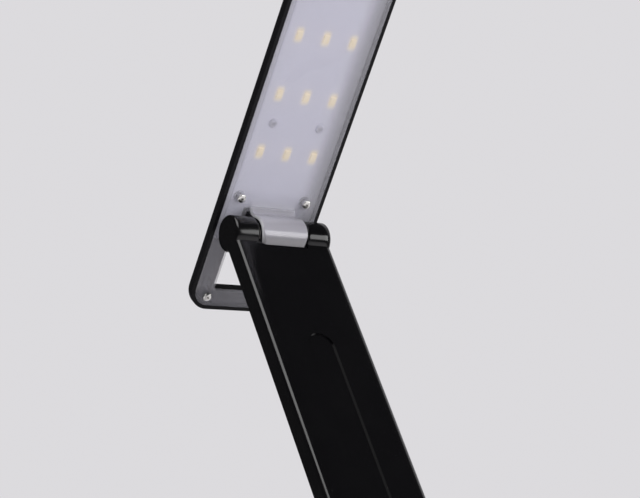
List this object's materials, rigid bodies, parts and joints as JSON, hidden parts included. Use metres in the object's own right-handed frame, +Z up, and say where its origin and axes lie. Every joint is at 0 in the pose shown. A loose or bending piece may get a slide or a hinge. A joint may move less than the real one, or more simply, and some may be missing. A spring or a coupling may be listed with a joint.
{
  "type": "accordion desk lamp",
  "caption": "Folding desk lamp: a flat lit head, a slab arm and a flat base hinged one on the next, with an open frame past each end hinge.",
  "frame": {"origin": "centre of the base's underside, on the surface that the lamp stands on", "axes": "+Z up; +X along both hinges, to the right of someone who sits in front of the lamp; the lamp's front looks along -Y"},
  "size_m": [0.053, 0.239, 0.4482],
  "materials": {
    "arm_gloss": "high gloss black",
    "shell_black": "satin-gloss black",
    "head_diffuser": "milky translucent cover, cool grey when unlit",
    "board_white": "white solder mask",
    "led_phosphor": "warm yellow phosphor",
    "screw_steel": "bright nickel plate",
    "hinge_steel": "plain steel",
    "hinge_polymer": "natural acetal",
    "lead_jacket": "black jacket",
    "ballast_steel": "zinc-plated plate",
    "foot_rubber": "matte black rubber",
    "foam": "black foam tape",
    "cell_wrap": "silver laminate pouch",
    "board_green": "green solder mask",
    "component_black": "moulded black",
    "plug_white": "off-white nylon",
    "button_black": "satin black",
    "lens_clear": "frosted clear"
  },
  "bodies": {
    "base": {"base_shell": "shell_black", "base_cover": "shell_black", "base_cover_screws": "screw_steel", "rubber_feet": "foot_rubber", "ballast_plate": "ballast_steel", "cell_pad": "foam", "battery_cell": "cell_wrap", "control_board": "board_green", "control_board_screws": "screw_steel", "board_components": "component_black", "power_switch": "component_black", "charge_lens": "lens_clear", "inlet_socket": "hinge_steel", "battery_plug": "plug_white", "battery_lead": "lead_jacket", "base_lead": "lead_jacket", "lower_hinge_shaft": "hinge_steel"},
    "button": {"power_button": "button_black"},
    "arm": {"arm_front_shell": "arm_gloss", "arm_back_shell": "arm_gloss", "arm_screws": "screw_steel", "arm_lead": "lead_jacket", "lower_hinge_bushes": "hinge_polymer", "lower_friction_clips": "hinge_steel", "lower_thrust_washers": "hinge_polymer", "upper_hinge_bushes": "hinge_polymer", "upper_friction_clips": "hinge_steel", "upper_thrust_washers": "hinge_polymer"},
    "head": {"head_shell": "shell_black", "head_cover": "head_diffuser", "led_board": "board_white", "led_chips": "led_phosphor", "panel_screws": "screw_steel", "loop_screws": "screw_steel", "led_board_screws": "screw_steel", "upper_hinge_shaft": "hinge_steel", "head_lead": "lead_jacket"}
  },
  "joints": [
    {"name": "base_hinge", "type": "hinge", "parent": "base", "child": "arm", "pos_m": [0, -0.0755, 0.0272], "axis": [1, 0, 0], "range_deg": [-57.47, 62.5]},
    {"name": "head_hinge", "type": "hinge", "parent": "arm", "child": "head", "pos_m": [0, 0.05894, 0.23798], "axis": [1, 0, 0], "range_deg": [-66.89, 113.11]},
    {"name": "power_button_press", "type": "slide", "parent": "base", "child": "button", "axis": [0, 0, -1], "range_m": [0, 0.0008], "stiffness_N_per_m": 600, "springref_m": -0.0008}
  ]
}
